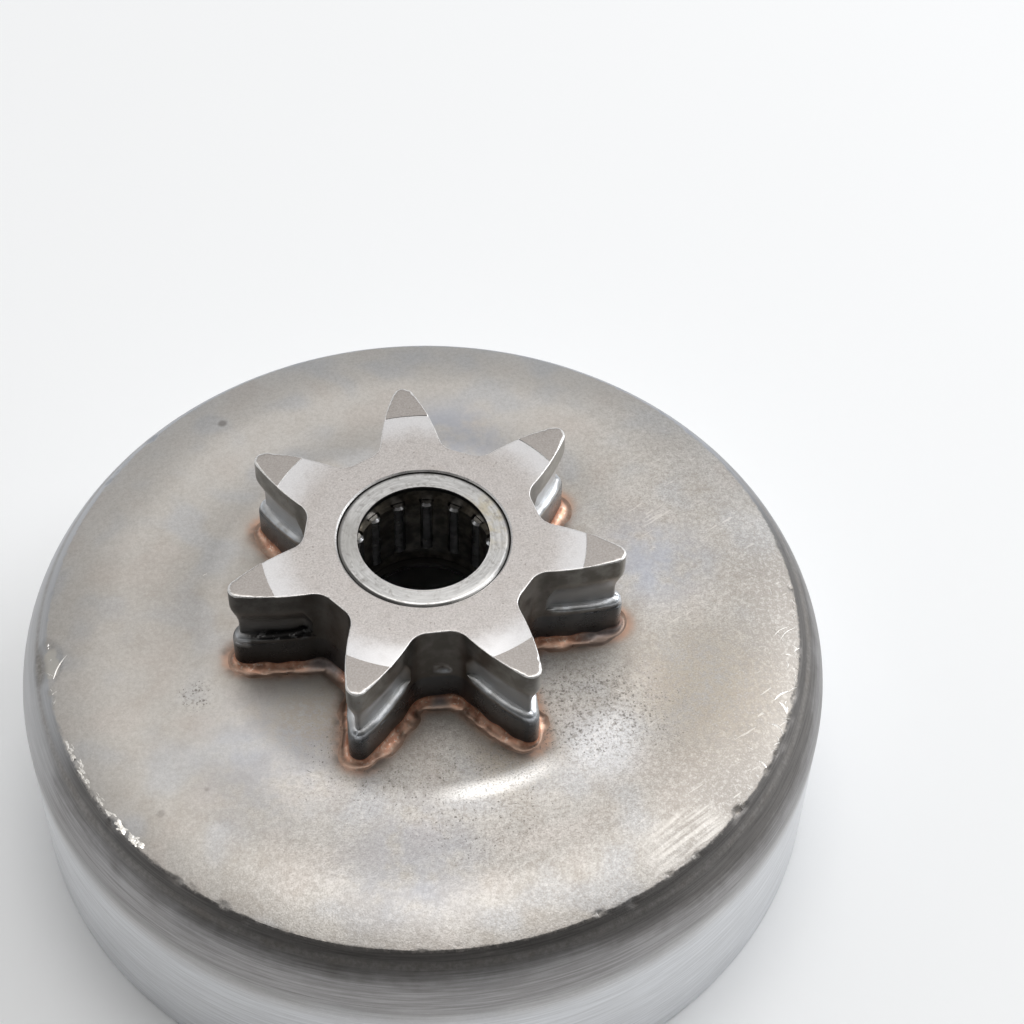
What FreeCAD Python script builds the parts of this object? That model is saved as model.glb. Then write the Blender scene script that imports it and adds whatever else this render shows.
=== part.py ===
import FreeCAD, Part
import math
import os

# Chainsaw clutch drum with a brazed spur sprocket and a caged needle bearing, in millimetres.
# +Z points out of the sprocket's end. The origin is on the axis, in the plane of the drum's rim.

# Drum: a pressed steel cup that stands on its rim
drum_od = 77.5
drum_depth = 24.0
drum_wall = 2.5
corner_radius = 8.0
inside_corner_radius = 5.0
rim_chamfer = 0.4

# Drum face: a raised middle, a gentle fall to a flat land, and a shoulder that ends in a crease
face_rise = 0.35
foot_margin = 0.15
fall_share = 0.645
fall_split = 0.3
shoulder_width = 6.8
shoulder_drop = 1.2
crease_inset = 2.95

# Sprocket: straight-sided gullets between slightly bowed, narrow-tipped teeth
tooth_count = 7
first_tooth_angle = 90.0
sprocket_height = 10.7
flank_apex_r = 19.85
gullet_r = 10.93
gullet_width = 3.98
flank_radius = 25.0
gullet_radius = 2.0
tip_radius = 1.0
edge_break = 0.15
spigot_d = 20.4
spigot_gap = 0.05
bore_chamfer = 0.15

# Polished seat that the thrust washer has worn into the sprocket's end
washer_seat_r = 14.93
washer_seat_depth = 0.06

# Wear groove of the chain's drive links, measured down from the sprocket's end and in from the flank
groove_depth = 0.8
groove_wall_start = 4.6
groove_sweep = 2.4
ledge_inner_drop = 6.05
ledge_fall = 0.4
groove_end_gap = 0.9
groove_overcut = 0.4
groove_tip_overrun = 1.5

# Braze fillet round the sprocket's foot
braze_leg = 1.1

# Needle bearing: a drawn cup with two turned-in lips, a cage and its rollers
shaft_d = 12.0
bearing_od = 16.0
bearing_length = 12.0
bearing_set_back = 0.05
cup_wall = 0.55
cup_corner = 0.45
cup_seat_gap = 0.01
lip_hole_d = 12.2
roller_count = 15
first_roller_angle = 9.5
roller_play = 0.015
roller_end_chamfer = 0.22
roller_axial_gap = 0.1
cage_end_gap = 0.1
cage_race_gap = 0.1
cage_end_ring = 1.9
cage_bar_depth = 1.05
cage_ring_depth = 0.6
pocket_gap = 0.04

# Worked-out sizes that several pieces share
drum_r = drum_od / 2
friction_r = drum_r - drum_wall
land_z = drum_depth - face_rise
inside_z = land_z - drum_wall
crease_r = drum_r - crease_inset
crease_z = land_z - shoulder_drop
shoulder_start_r = crease_r - shoulder_width
fall_start_r = flank_apex_r + foot_margin
fall_end_r = fall_start_r + fall_share * (shoulder_start_r - fall_start_r)
sprocket_top = drum_depth + sprocket_height
braze_blank = 3 * braze_leg
bearing_r = bearing_od / 2
cup_top = sprocket_top - washer_seat_depth - bearing_set_back
cup_bottom = cup_top - bearing_length
race_r = bearing_r - cup_seat_gap - cup_wall
roller_r = (race_r - shaft_d / 2 - 2 * roller_play) / 2
roller_circle_r = race_r - roller_play - roller_r
cage_top = cup_top - cup_wall - cage_end_gap
cage_bottom = cup_bottom + cup_wall + cage_end_gap
pocket_top = cage_top - cage_end_ring
pocket_bottom = cage_bottom + cage_end_ring

SAME_HEIGHT = 1e-6
UP = FreeCAD.Vector(0, 0, 1)
ORIGIN = FreeCAD.Vector(0, 0, 0)


def line(start, end):
    return Part.LineSegment(start, end).toShape()


def arc(start, middle, end):
    return Part.Arc(start, middle, end).toShape()


def at(radius, height):
    """Point of a turned profile, drawn in the XZ plane."""
    return FreeCAD.Vector(radius, 0, height)


def turned(edges):
    """Solid of revolution about Z from the edges of a closed profile."""
    return Part.Face(Part.Wire(edges)).revolve(ORIGIN, UP, 360)


def polar(radius, angle, height=0.0):
    turn = math.radians(angle)
    return FreeCAD.Vector(radius * math.cos(turn), radius * math.sin(turn), height)


def bend(centre_r, centre_z, radius, start_tilt, end_tilt):
    """Arc of a turned profile between two tilts, in radians from straight up towards straight out.

    A negative radius gives a hollow arc, whose centre lies above it."""
    points = []
    for tilt in (start_tilt, (start_tilt + end_tilt) / 2, end_tilt):
        points.append(at(centre_r + radius * math.sin(tilt), centre_z + radius * math.cos(tilt)))
    return arc(*points)


def round_corner(centre_r, centre_z, radius):
    """Quarter arc from straight up to straight out, about a centre in the profile."""
    return bend(centre_r, centre_z, radius, 0, math.pi / 2)


def face_fall():
    """Two tangent arcs that lower the face from its raised middle to the land."""
    width = fall_end_r - fall_start_r
    steepest = 2 * math.atan(face_rise / width)
    upper_radius = fall_split * width / math.sin(steepest)
    lower_radius = (1 - fall_split) * width / math.sin(steepest)
    upper = bend(fall_start_r, drum_depth - upper_radius, upper_radius, 0, steepest)
    lower = bend(fall_end_r, land_z + lower_radius, -lower_radius, steepest, 0)
    return [upper, lower]


def shoulder():
    """Arc that leaves the land level and slopes down to the crease."""
    radius = (shoulder_width ** 2 + shoulder_drop ** 2) / (2 * shoulder_drop)
    return bend(shoulder_start_r, land_z - radius, radius, 0, math.asin(shoulder_width / radius))


def outside_corner():
    """Arc from the crease to the brake-band wall, with the height where it meets the wall."""
    centre_r = drum_r - corner_radius
    crease_tilt = math.asin((crease_r - centre_r) / corner_radius)
    wall_top = crease_z - corner_radius * math.cos(crease_tilt)
    return bend(centre_r, wall_top, corner_radius, crease_tilt, math.pi / 2), wall_top


def clutch_drum():
    """Cup with a creased, rounded edge, a friction wall inside and a brake-band wall outside."""
    hole_r = spigot_d / 2 + spigot_gap
    corner, outer_wall_top = outside_corner()
    inner_wall_top = inside_z - inside_corner_radius
    inside_corner_r = friction_r - inside_corner_radius
    edges = [
        line(at(hole_r, drum_depth), at(fall_start_r, drum_depth)),
        *face_fall(),
        line(at(fall_end_r, land_z), at(shoulder_start_r, land_z)),
        shoulder(),
        corner,
        line(at(drum_r, outer_wall_top), at(drum_r, rim_chamfer)),
        line(at(drum_r, rim_chamfer), at(drum_r - rim_chamfer, 0)),
        line(at(drum_r - rim_chamfer, 0), at(friction_r + rim_chamfer, 0)),
        line(at(friction_r + rim_chamfer, 0), at(friction_r, rim_chamfer)),
        line(at(friction_r, rim_chamfer), at(friction_r, inner_wall_top)),
        round_corner(inside_corner_r, inner_wall_top, inside_corner_radius),
        line(at(inside_corner_r, inside_z), at(hole_r, inside_z)),
        line(at(hole_r, inside_z), at(hole_r, drum_depth)),
    ]
    return turned(Part.sortEdges(edges)[0])


def direction(start, end):
    return math.degrees(math.atan2(end.y - start.y, end.x - start.x))


def root_corner():
    """Sharp foot of a tooth's right flank, for a tooth that points along +Y."""
    half_pitch = math.pi / tooth_count
    half_width = gullet_width / 2
    across = gullet_r * math.sin(half_pitch) - half_width * math.cos(half_pitch)
    along = gullet_r * math.cos(half_pitch) + half_width * math.sin(half_pitch)
    return FreeCAD.Vector(across, along, 0)


def flank_circle():
    """Centre of the right flank's bow, with the directions of its foot and its apex in degrees."""
    foot = root_corner()
    apex = FreeCAD.Vector(0, flank_apex_r, 0)
    chord = apex - foot
    outward = FreeCAD.Vector(chord.y, -chord.x, 0).normalize()
    inset = math.sqrt(flank_radius ** 2 - (chord.Length / 2) ** 2)
    centre = (foot + apex) * 0.5 - outward * inset
    return centre, direction(centre, foot), direction(centre, apex)


def spread_round_teeth(shapes):
    """Copies of shapes made for a tooth along +Y, one set per tooth."""
    copies = []
    for index in range(tooth_count):
        turn = first_tooth_angle - 90 + index * 360 / tooth_count
        for shape in shapes:
            copies.append(shape.rotated(ORIGIN, UP, turn))
    return copies


def mirrored_flank(shape):
    return shape.mirror(ORIGIN, FreeCAD.Vector(1, 0, 0))


def flank_point(angle):
    centre = flank_circle()[0]
    return centre + polar(flank_radius, angle)


def gullet_round():
    """Arc from the gullet floor to the right flank, with the flank's angle where it ends."""
    floor_out = polar(1, 90 - 180 / tooth_count)
    floor_along = polar(1, 180 - 180 / tooth_count)
    bow = flank_circle()[0]
    reach = flank_radius + gullet_radius
    lift = gullet_r + gullet_radius - bow.dot(floor_out)
    offset = bow.dot(floor_along) - math.sqrt(reach ** 2 - lift ** 2)
    centre = floor_out * (gullet_r + gullet_radius) + floor_along * offset
    touch_angle = direction(bow, centre)
    floor_touch = centre - floor_out * gullet_radius
    flank_touch = flank_point(touch_angle)
    inward = ((floor_touch - centre) + (flank_touch - centre)).normalize()
    return arc(floor_touch, centre + inward * gullet_radius, flank_touch), touch_angle


def tip_round():
    """Arc over the tip from the right flank to the left one, with the flank's angle where it starts."""
    bow = flank_circle()[0]
    reach = flank_radius - tip_radius
    centre = FreeCAD.Vector(0, bow.y + math.sqrt(reach ** 2 - bow.x ** 2), 0)
    touch_angle = direction(bow, centre)
    right_touch = flank_point(touch_angle)
    left_touch = FreeCAD.Vector(-right_touch.x, right_touch.y, 0)
    return arc(right_touch, centre + FreeCAD.Vector(0, tip_radius, 0), left_touch), touch_angle


def tooth_edges():
    """Outline of a tooth along +Y: both gullet rounds, both flanks, the tip and the floor on the left."""
    foot_round, foot_angle = gullet_round()
    tip, tip_angle = tip_round()
    middle_angle = (foot_angle + tip_angle) / 2
    flank = arc(flank_point(foot_angle), flank_point(middle_angle), flank_point(tip_angle))
    left_round = mirrored_flank(foot_round)
    next_round = foot_round.rotated(ORIGIN, UP, 360 / tooth_count)
    floor = line(left_round.Vertexes[0].Point, next_round.Vertexes[0].Point)
    return [foot_round, flank, tip, mirrored_flank(flank), left_round, floor]


def edges_in_plane(solid, height):
    found = []
    for edge in solid.Edges:
        bounds = edge.BoundBox
        if abs(bounds.ZMin - height) < SAME_HEIGHT and abs(bounds.ZMax - height) < SAME_HEIGHT:
            found.append(edge)
    return found


def toothed_block(bottom, height):
    """Prism of the tooth outline."""
    outline = Part.Wire(Part.sortEdges(spread_round_teeth(tooth_edges()))[0])
    outline.translate(UP * bottom)
    return Part.Face(outline).extrude(UP * height)


def groove_section(centre, angle):
    """Groove's section in the upright plane through the flank's bow centre at an angle."""
    def section_point(depth, drop):
        return centre + polar(flank_radius - depth, angle, sprocket_top - drop)

    def sweep_point(turn):
        depth = groove_depth - groove_sweep * (1 - math.cos(turn))
        return section_point(depth, groove_wall_start - groove_sweep * math.sin(turn))

    ledge_slope = ledge_fall / groove_depth
    outer_ledge_drop = ledge_inner_drop + ledge_slope * (groove_depth + groove_overcut)
    full_turn = math.acos(1 - (groove_depth + groove_overcut) / groove_sweep)
    lip = sweep_point(full_turn)
    wall_top = sweep_point(0)
    wall_foot = section_point(groove_depth, ledge_inner_drop)
    ledge_end = section_point(-groove_overcut, outer_ledge_drop)
    edges = [
        arc(lip, sweep_point(full_turn / 2), wall_top),
        line(wall_top, wall_foot),
        line(wall_foot, ledge_end),
        line(ledge_end, lip),
    ]
    return Part.Face(Part.Wire(edges))


def groove_cutters():
    """Cutters for both flanks of a tooth along +Y: a run along the flank and a rounded inner end."""
    centre, foot_angle, apex_angle = flank_circle()
    end_radius = groove_depth + groove_overcut
    end_reach = math.sqrt(end_radius ** 2 - groove_overcut ** 2)
    start_angle = foot_angle + math.degrees((groove_end_gap + end_reach) / flank_radius)
    stop_angle = apex_angle + math.degrees(groove_tip_overrun / flank_radius)
    section = groove_section(centre, start_angle)
    run = section.revolve(centre, UP, stop_angle - start_angle)
    end_axis = centre + polar(flank_radius + groove_overcut, start_angle)
    end = section.revolve(end_axis, UP, 90)
    right = run.fuse(end)
    return [right, mirrored_flank(right)]


def spur_sprocket():
    """Toothed block with a spigot, a bearing bore, a washer seat and worn flanks."""
    block = toothed_block(drum_depth, sprocket_height)
    block = block.makeChamfer(edge_break, edges_in_plane(block, sprocket_top))
    spigot = Part.makeCylinder(spigot_d / 2, drum_depth - inside_z, FreeCAD.Vector(0, 0, inside_z))
    seat_z = sprocket_top - washer_seat_depth
    seat = Part.makeCylinder(washer_seat_r, washer_seat_depth + edge_break, FreeCAD.Vector(0, 0, seat_z))
    bore = Part.makeCylinder(bearing_r, sprocket_top - inside_z, FreeCAD.Vector(0, 0, inside_z))
    mouth_r = bearing_r + bore_chamfer
    lead_in = Part.makeCone(bearing_r, mouth_r, bore_chamfer, FreeCAD.Vector(0, 0, seat_z - bore_chamfer))
    body = block.fuse(spigot).removeSplitter()
    return body.cut([seat, bore, lead_in, *spread_round_teeth(groove_cutters())])


def braze_fillet():
    """Concave ring of braze between the drum's face and the foot of the sprocket."""
    plate_r = flank_apex_r + braze_blank
    plate = Part.makeCylinder(plate_r, drum_wall, FreeCAD.Vector(0, 0, drum_depth - drum_wall))
    foot = toothed_block(drum_depth, braze_blank).fuse(plate).removeSplitter()
    foot_edges = [edge for edge in edges_in_plane(foot, drum_depth)
                  if edge.BoundBox.DiagonalLength < plate_r]
    return foot.makeFillet(braze_leg, foot_edges).cut(foot)


def bearing_cup():
    """Drawn cup, rounded outside, with a raceway between its two lips."""
    lip_r = lip_hole_d / 2
    outer_r = bearing_r - cup_seat_gap
    corner_r = outer_r - cup_corner
    upper_corner = round_corner(corner_r, cup_top - cup_corner, cup_corner)
    middle = FreeCAD.Vector(0, 0, (cup_top + cup_bottom) / 2)
    lower_corner = upper_corner.mirror(middle, UP)
    edges = [
        line(at(lip_r, cup_top), at(corner_r, cup_top)),
        upper_corner,
        line(at(outer_r, cup_top - cup_corner), at(outer_r, cup_bottom + cup_corner)),
        lower_corner,
        line(at(corner_r, cup_bottom), at(lip_r, cup_bottom)),
        line(at(lip_r, cup_bottom), at(lip_r, cup_bottom + cup_wall)),
        line(at(lip_r, cup_bottom + cup_wall), at(race_r, cup_bottom + cup_wall)),
        line(at(race_r, cup_bottom + cup_wall), at(race_r, cup_top - cup_wall)),
        line(at(race_r, cup_top - cup_wall), at(lip_r, cup_top - cup_wall)),
        line(at(lip_r, cup_top - cup_wall), at(lip_r, cup_top)),
    ]
    return turned(Part.sortEdges(edges)[0])


def roller_angle(index):
    return first_roller_angle + index * 360 / roller_count


def pocket_cutter():
    """Window for a roller on +X: round inside, so that the roller can't fall in, and open outside."""
    radius = roller_r + pocket_gap
    height = pocket_top - pocket_bottom
    seat = Part.makeCylinder(radius, height, at(roller_circle_r, pocket_bottom))
    corner = FreeCAD.Vector(roller_circle_r, -radius, pocket_bottom)
    mouth = Part.makeBox(bearing_r - roller_circle_r, 2 * radius, height, corner)
    return seat.fuse(mouth)


def bearing_cage():
    """Ring with thin ends, thicker bars and one window per roller."""
    outer_r = race_r - cage_race_gap
    bar_r = outer_r - cage_bar_depth
    ring_r = outer_r - cage_ring_depth
    edges = [
        line(at(ring_r, cage_top), at(outer_r, cage_top)),
        line(at(outer_r, cage_top), at(outer_r, cage_bottom)),
        line(at(outer_r, cage_bottom), at(ring_r, cage_bottom)),
        line(at(ring_r, cage_bottom), at(ring_r, pocket_bottom)),
        line(at(ring_r, pocket_bottom), at(bar_r, pocket_bottom)),
        line(at(bar_r, pocket_bottom), at(bar_r, pocket_top)),
        line(at(bar_r, pocket_top), at(ring_r, pocket_top)),
        line(at(ring_r, pocket_top), at(ring_r, cage_top)),
    ]
    pocket = pocket_cutter()
    pockets = [pocket.rotated(ORIGIN, UP, roller_angle(index)) for index in range(roller_count)]
    return turned(edges).cut(pockets)


def needle_roller(index):
    length = pocket_top - pocket_bottom - 2 * roller_axial_gap
    bottom = polar(roller_circle_r, roller_angle(index), pocket_bottom + roller_axial_gap)
    roller = Part.makeCylinder(roller_r, length, bottom)
    ends = [edge for edge in roller.Edges if edge.Closed]
    return roller.makeChamfer(roller_end_chamfer, ends)


def pieces():
    """Every physical piece by the name of its node."""
    made = {
        "clutch_drum": clutch_drum(),
        "spur_sprocket": spur_sprocket(),
        "braze_fillet": braze_fillet(),
        "bearing_cup": bearing_cup(),
        "bearing_cage": bearing_cage(),
    }
    for index in range(roller_count):
        made[f"needle_roller_{index + 1:02d}"] = needle_roller(index)
    return made


os.makedirs("parts", exist_ok=True)
for name, shape in pieces().items():
    shape.exportStep(f"parts/{name}.step")
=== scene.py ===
import math

import bmesh
import bpy
import numpy as np
from mathutils import Matrix


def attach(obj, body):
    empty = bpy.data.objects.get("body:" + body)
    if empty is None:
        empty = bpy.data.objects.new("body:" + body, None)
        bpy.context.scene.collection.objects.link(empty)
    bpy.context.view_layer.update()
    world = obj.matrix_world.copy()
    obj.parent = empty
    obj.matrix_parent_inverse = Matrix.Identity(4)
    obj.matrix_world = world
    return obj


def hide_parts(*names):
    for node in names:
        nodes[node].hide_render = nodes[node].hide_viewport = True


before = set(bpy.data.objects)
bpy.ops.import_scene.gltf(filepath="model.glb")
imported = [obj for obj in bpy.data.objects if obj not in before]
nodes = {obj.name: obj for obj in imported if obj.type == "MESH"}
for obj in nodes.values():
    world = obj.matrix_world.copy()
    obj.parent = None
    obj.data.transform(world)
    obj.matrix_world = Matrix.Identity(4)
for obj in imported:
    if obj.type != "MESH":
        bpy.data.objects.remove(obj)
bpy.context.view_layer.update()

FULL_TURN = 2 * math.pi
MM = 0.001

# Sizes in millimetres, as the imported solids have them
DRUM_R = 38.75
DRUM_WALL = 2.5
FRICTION_R = DRUM_R - DRUM_WALL
CORNER_RADIUS = 8.0
INSIDE_CORNER = 5.0
RIM_CHAMFER = 0.4
FACE_Z = 24.0
FACE_RISE = 0.35
LAND_Z = FACE_Z - FACE_RISE
INSIDE_Z = LAND_Z - DRUM_WALL
FALL_START_R = 20.0
FALL_END_R = 25.805
FALL_SPLIT = 0.3
CREASE_INSET = 2.95
CREASE_R = DRUM_R - CREASE_INSET
SHOULDER_DROP = 1.2
CREASE_Z = LAND_Z - SHOULDER_DROP
SHOULDER_WIDTH = 6.8
SHOULDER_R = CREASE_R - SHOULDER_WIDTH
TEETH = 7
SPROCKET_HEIGHT = 10.7
TOP_Z = FACE_Z + SPROCKET_HEIGHT
SEAT_R = 14.93
SEAT_DEPTH = 0.06
SEAT_Z = TOP_Z - SEAT_DEPTH
FLANK_RADIUS = 25.0
APEX_R = 19.85
GULLET_R = 10.93
GULLET_WIDTH = 3.98
GULLET_RADIUS = 2.0
TIP_RADIUS = 1.0
BORE_R = 8.0
BORE_CHAMFER = 0.15
SPIGOT_R = 10.2
SPIGOT_GAP = 0.05
HOLE_R = SPIGOT_R + SPIGOT_GAP
GROOVE_DEPTH = 0.8
GROOVE_START = 2.03
GROOVE_OVERCUT = 0.4
LEDGE_DROP = 6.05
CUP_SET_BACK = 0.05
CUP_TOP = SEAT_Z - CUP_SET_BACK

# Slope of the face where it meets the crease
CREASE_SLOPE = 0.364
# Drops at which the groove's upper side starts and ends, for a softer sweep than the solid has
GROOVE_TOP_DROP = 2.1
GROOVE_WALL_DROP = 4.8


def smooth(low, high, value):
    t = np.clip((value - low) / (high - low), 0, 1)
    return t * t * (3 - 2 * t)


def bell(value, middle, spread):
    return np.exp(-((value - middle) / spread) ** 2)


def ripple(angle, lowest, highest, seed, count=24):
    """Smooth noise round a circle, about -1 to 1, from waves that close on themselves."""
    source = np.random.default_rng(seed)
    total = np.zeros_like(angle)
    for wave in source.integers(lowest, highest, count):
        total += source.uniform(0.4, 1) * np.sin(wave * angle + source.uniform(0, FULL_TURN))
    return total / (0.9 * math.sqrt(count))


def ring_mesh(name, rings, masks=None):
    """Closed mesh from rings of points (row, column, xyz in mm), welded where rings touch."""
    rows, columns, _ = rings.shape
    row = np.arange(rows)[:, None]
    column = np.arange(columns)[None, :]
    here, below = row * columns, (row + 1) % rows * columns
    beside = (column + 1) % columns
    corners = np.stack([here + column, below + column, below + beside, here + beside], -1)
    mesh = bpy.data.meshes.new(name)
    mesh.from_pydata((rings.reshape(-1, 3) * MM).tolist(), [], corners.reshape(-1, 4).tolist())
    for label, values in (masks or {}).items():
        data = mesh.attributes.new(label, "FLOAT", "POINT").data
        data.foreach_set("value", values.ravel().astype(np.float32))
    work = bmesh.new()
    work.from_mesh(mesh)
    bmesh.ops.remove_doubles(work, verts=work.verts, dist=1e-7)
    bmesh.ops.recalc_face_normals(work, faces=work.faces)
    work.to_mesh(mesh)
    work.free()
    return mesh


def drum_part(mesh, sharp_angle, node=None):
    """Object on the drum's body, standing for a CAD node where one is named."""
    mesh.polygons.foreach_set("use_smooth", np.ones(len(mesh.polygons), bool))
    mesh.set_sharp_from_angle(angle=math.radians(sharp_angle))
    piece = bpy.data.objects.new(mesh.name, mesh)
    bpy.context.scene.collection.objects.link(piece)
    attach(piece, "drum")
    if node:
        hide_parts(node)
    return piece


def paint(piece, material):
    piece.data.materials.clear()
    piece.data.materials.append(material)


# Drum: a fine turned surface whose crease is scooped out where the photograph shows chips

DRUM_COLUMNS = 660
FACE_WAVE = 0.02
# Rows before and after the crease that a chip can reach
CHIPPED_BEFORE = 34
CHIPPED_AFTER = 26
# Rows of the face, from the hole out, that the halo of the teeth can reach, and the length of its fade
HALO_ROWS = 44
HALO_FADE = 1.4

# Angle in degrees, offset inwards from the crease, approach in degrees from straight down, radius, depth
CHIPS = [
    (-178.3, 0.55, 38, 8.0, 0.46), (-172.0, 0.1, 40, 1.6, 0.12), (-166.0, 0.0, 40, 1.2, 0.09),
    (-157.2, 0.1, 35, 1.4, 0.10), (-147.0, 0.0, 50, 1.6, 0.14), (-143.6, -0.2, 40, 1.8, 0.16),
    (-13.0, 0.2, 35, 2.0, 0.07), (-20.8, 0.0, 40, 2.4, 0.08), (-25.7, 0.0, 45, 2.6, 0.10),
    (-30.5, 0.0, 45, 3.5, 0.10), (-36.0, 0.0, 40, 2.2, 0.09),
]
# Stretches of the crease with small chips: number, first and last angle, largest radius, largest depth
CRUMBLED = [(150, 0, 360, 1.5, 0.04), (16, -163, -139, 0.8, 0.08), (22, -45, 0, 1.0, 0.035)]


def tilted_rows(centre_r, centre_z, radius, tilts):
    """Points of an arc in the turned profile, at tilts from straight up towards straight out."""
    return [(centre_r + radius * math.sin(t), centre_z + radius * math.cos(t)) for t in tilts]


def crowded(low, high, count, power):
    """Values from low to high, closest together at high."""
    t = np.linspace(0, 1, count)
    return low + (high - low) * (1 - (1 - t) ** power)


def face_profile():
    """Rows (radius, height) of the drum's face, from its hole to the crease."""
    width = FALL_END_R - FALL_START_R
    steepest = 2 * math.atan((FACE_Z - LAND_Z) / width)
    upper = FALL_SPLIT * width / math.sin(steepest)
    lower = (1 - FALL_SPLIT) * width / math.sin(steepest)
    shoulder = (SHOULDER_WIDTH ** 2 + SHOULDER_DROP ** 2) / (2 * SHOULDER_DROP)
    shoulder_tilts = crowded(0, math.asin(SHOULDER_WIDTH / shoulder), 32, 1.8)
    rows = [(r, FACE_Z) for r in np.linspace(HOLE_R, FALL_START_R, 30)]
    rows += tilted_rows(FALL_START_R, FACE_Z - upper, upper, np.linspace(0, steepest, 7)[1:])
    rows += tilted_rows(FALL_END_R, LAND_Z + lower, -lower, np.linspace(steepest, 0, 10)[1:])
    rows += [(r, LAND_Z) for r in np.linspace(FALL_END_R, SHOULDER_R, 6)[1:]]
    rows += tilted_rows(SHOULDER_R, LAND_Z - shoulder, shoulder, shoulder_tilts[1:])
    return rows


def wall_profile():
    """Rows from the crease over the rounded edge, the wall and the rim, and inside back to the hole."""
    centre_r = DRUM_R - CORNER_RADIUS
    crease_tilt = math.asin((CREASE_R - centre_r) / CORNER_RADIUS)
    wall_top = CREASE_Z - CORNER_RADIUS * math.cos(crease_tilt)
    corner_tilts = crowded(math.pi / 2, crease_tilt, 28, 1.6)[::-1]
    inner_r = FRICTION_R - INSIDE_CORNER
    inner_top = INSIDE_Z - INSIDE_CORNER
    rows = tilted_rows(centre_r, wall_top, CORNER_RADIUS, corner_tilts[1:])
    rows += [(DRUM_R, z) for z in np.linspace(wall_top, RIM_CHAMFER, 14)[1:]]
    rows += [(DRUM_R - RIM_CHAMFER, 0.0), (FRICTION_R + RIM_CHAMFER, 0.0)]
    rows += [(FRICTION_R, z) for z in np.linspace(RIM_CHAMFER, inner_top, 8)]
    rows += tilted_rows(inner_r, inner_top, INSIDE_CORNER, np.linspace(math.pi / 2, 0, 10)[1:])
    rows += [(r, INSIDE_Z) for r in np.linspace(inner_r, HOLE_R, 6)[1:]]
    return rows


def scoop(points, angle, inset, approach, radius, depth):
    """Hollows the crease with a ball that comes from outside and goes in by a depth."""
    turn, tilt = math.radians(angle), math.radians(approach)
    out = np.array([math.cos(turn), math.sin(turn), 0])
    entry = out * (CREASE_R - inset) + np.array([0, 0, CREASE_Z + CREASE_SLOPE * max(inset, 0)])
    ball = entry + (out * math.sin(tilt) + np.array([0, 0, math.cos(tilt)])) * (radius - depth)
    away = points - ball
    gap = np.linalg.norm(away, axis=-1, keepdims=True)
    return np.where(gap < radius, ball + away * (radius / np.maximum(gap, 1e-9)), points)


def foot_halo(rings, outline):
    """Mask of the drum's points that is 1 at the foot of the teeth and fades away from it."""
    foot = outline.placed(np.zeros_like(outline.flank))[::2]
    halo = np.zeros(rings.shape[:2])
    for ring, row in zip(rings[:HALO_ROWS], halo):
        gap = np.hypot(ring[:, None, 0] - foot[:, 0], ring[:, None, 1] - foot[:, 1]).min(axis=1)
        row[:] = np.exp(-gap / HALO_FADE)
    return halo


def drum_piece(outline):
    source = np.random.default_rng(7)
    face = face_profile()
    radius, level = np.array(face + wall_profile()).T[:, :, None]
    theta = np.linspace(0, FULL_TURN, DRUM_COLUMNS, endpoint=False)
    height = np.repeat(level, len(theta), axis=1)
    sunk = np.abs(FACE_WAVE * ripple(theta, 2, 14, 5))
    height[:len(face)] -= sunk * smooth(FALL_START_R, FALL_END_R, radius[:len(face)])
    rings = np.stack([radius * np.cos(theta), radius * np.sin(theta), height], -1)
    marked = slice(len(face) - CHIPPED_BEFORE, len(face) + CHIPPED_AFTER)
    for chip in CHIPS:
        rings[marked] = scoop(rings[marked], *chip)
    for count, first, last, widest, deepest in CRUMBLED:
        for _ in range(count):
            angle = source.uniform(first, last)
            inset = source.normal(0.05, 0.18)
            approach = source.uniform(15, 65)
            size = source.uniform(0.45, 1) * widest
            depth = source.uniform(0.3, 1) * deepest
            rings[marked] = scoop(rings[marked], angle, inset, approach, size, depth)
    mesh = ring_mesh("drum_shell", rings, {"halo": foot_halo(rings, outline)})
    return drum_part(mesh, 24, "clutch_drum")


# Nicks: raised slivers of bare metal on the face and along the crease

# Points along a nick, the least height of its ridge and its rise with width
NICK_STEPS = 9
NICK_RIDGE = 0.012
NICK_RISE = 0.12
# Heights of a nick's edges and root, under the face
NICK_EDGE = -0.02
NICK_ROOT = -0.08
# Flakes lie at least this far inside the crease
FLAKE_INSET = 0.12

# Bright nicks: angle in degrees, radius, length, direction in degrees on the plan view, half width
NICKS = [
    (-22.6, 34.6, 1.9, 34, 0.12), (-24.6, 35.1, 1.3, -66, 0.16), (-28.3, 35.0, 0.9, -29, 0.14),
    (-34.3, 33.7, 0.65, -34, 0.1), (-35.5, 35.3, 0.9, -43, 0.16), (-37.8, 35.4, 0.4, -47, 0.13),
    (-40.4, 35.4, 0.45, -41, 0.12), (-30.2, 35.5, 0.5, -62, 0.09), (-14.6, 34.8, 0.65, -11, 0.1),
    (-12.8, 35.4, 0.6, -47, 0.1), (-16.5, 34.7, 0.9, -96, 0.08), (-2.2, 33.4, 1.0, -84, 0.07),
    (-11.3, 33.8, 1.9, -55, 0.05), (-10.5, 34.6, 2.4, 41, 0.05), (-10.3, 34.0, 2.2, 35, 0.05),
    (-34.7, 20.6, 0.9, 165, 0.12), (-125.9, 21.1, 0.8, 140, 0.07), (162.4, 21.5, 0.5, 30, 0.06),
    (-176.7, 34.6, 2.7, 60, 0.08), (-172.3, 35.4, 0.5, 20, 0.1),
]
# Stretches of torn flakes: number, first and last angle, longest flake, widest half, spread of direction
FLAKES = [(46, -163, -146, 0.8, 0.15, 25), (22, -147, -141, 1.2, 0.34, 50), (26, -46, -2, 0.9, 0.07, 70),
          (8, 176, 190, 0.6, 0.08, 40)]


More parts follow.
